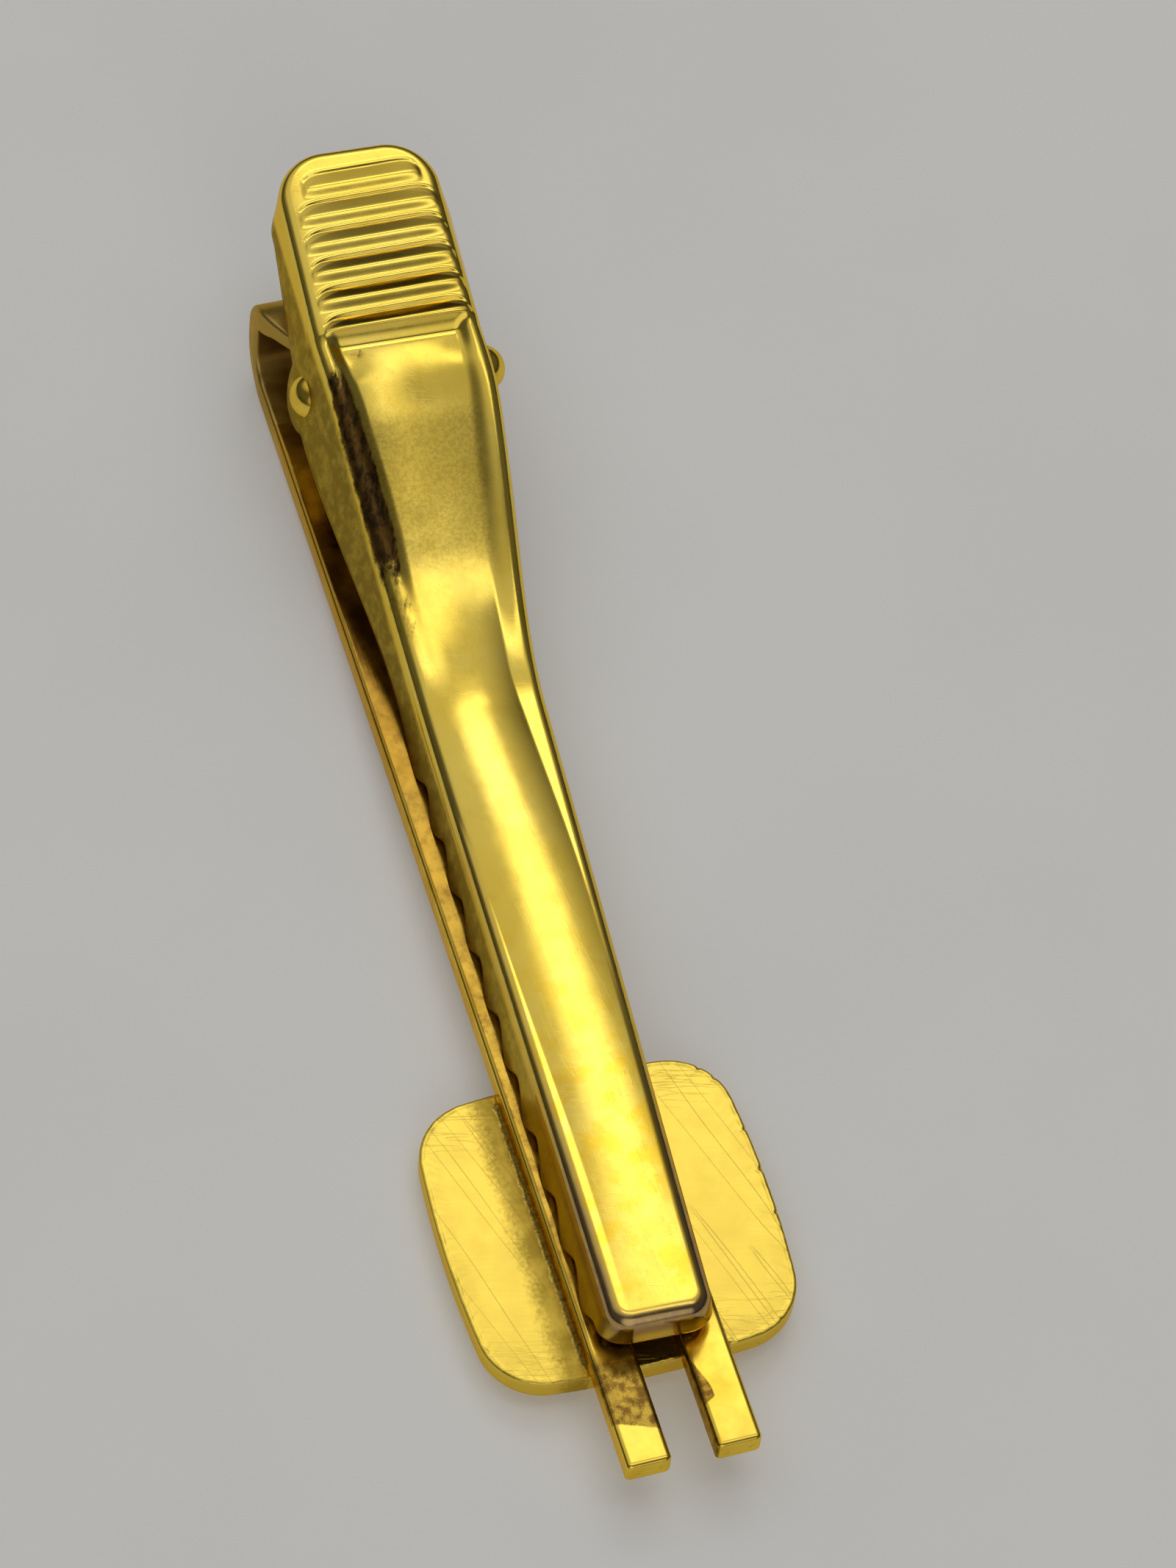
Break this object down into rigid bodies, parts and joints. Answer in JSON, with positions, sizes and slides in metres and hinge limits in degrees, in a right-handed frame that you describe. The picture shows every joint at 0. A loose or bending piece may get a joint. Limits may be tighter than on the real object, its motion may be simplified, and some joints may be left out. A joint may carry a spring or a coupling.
{
  "type": "tie clip",
  "caption": "Hinged tie clip: cushion-shaped front plate on a forked back rail, with a sprung, toothed lever and a ribbed thumb pad that clamps a tie to a shirt.",
  "frame": {"origin": "centre of the plate's front face, which lies face down", "axes": "+X along the clip from the hinge towards the open end of the jaw, +Y along the hinge pin, +Z from the plate's front face up to the lever"},
  "size_m": [0.0577, 0.0132, 0.0116],
  "materials": {
    "plate_gold": "satin gold plating with fine grinding lines",
    "fork_gold": "polished gold plating",
    "lever_gold": "polished gold plating with tarnish and fine scratches",
    "pin_gold": "dull gold plating",
    "spring_wire": "plain drawn wire",
    "solder": "rough, stained solder under gold plating"
  },
  "bodies": {
    "front": {"front_plate": "plate_gold", "front_fork": "fork_gold", "solder_left": "solder", "solder_right": "solder", "torsion_spring": "spring_wire"},
    "lever": {"clamp_lever": "lever_gold", "hinge_pin": "pin_gold"}
  },
  "joints": [
    {"name": "lever_hinge", "type": "hinge", "parent": "front", "child": "lever", "pos_m": [-0.03716, 0.00032, 0.0073], "axis": [0, -1, 0], "range_deg": [0, 16], "stiffness_Nm_per_rad": 0.031, "springref_deg": -34.38, "deforming": ["torsion_spring"]}
  ]
}
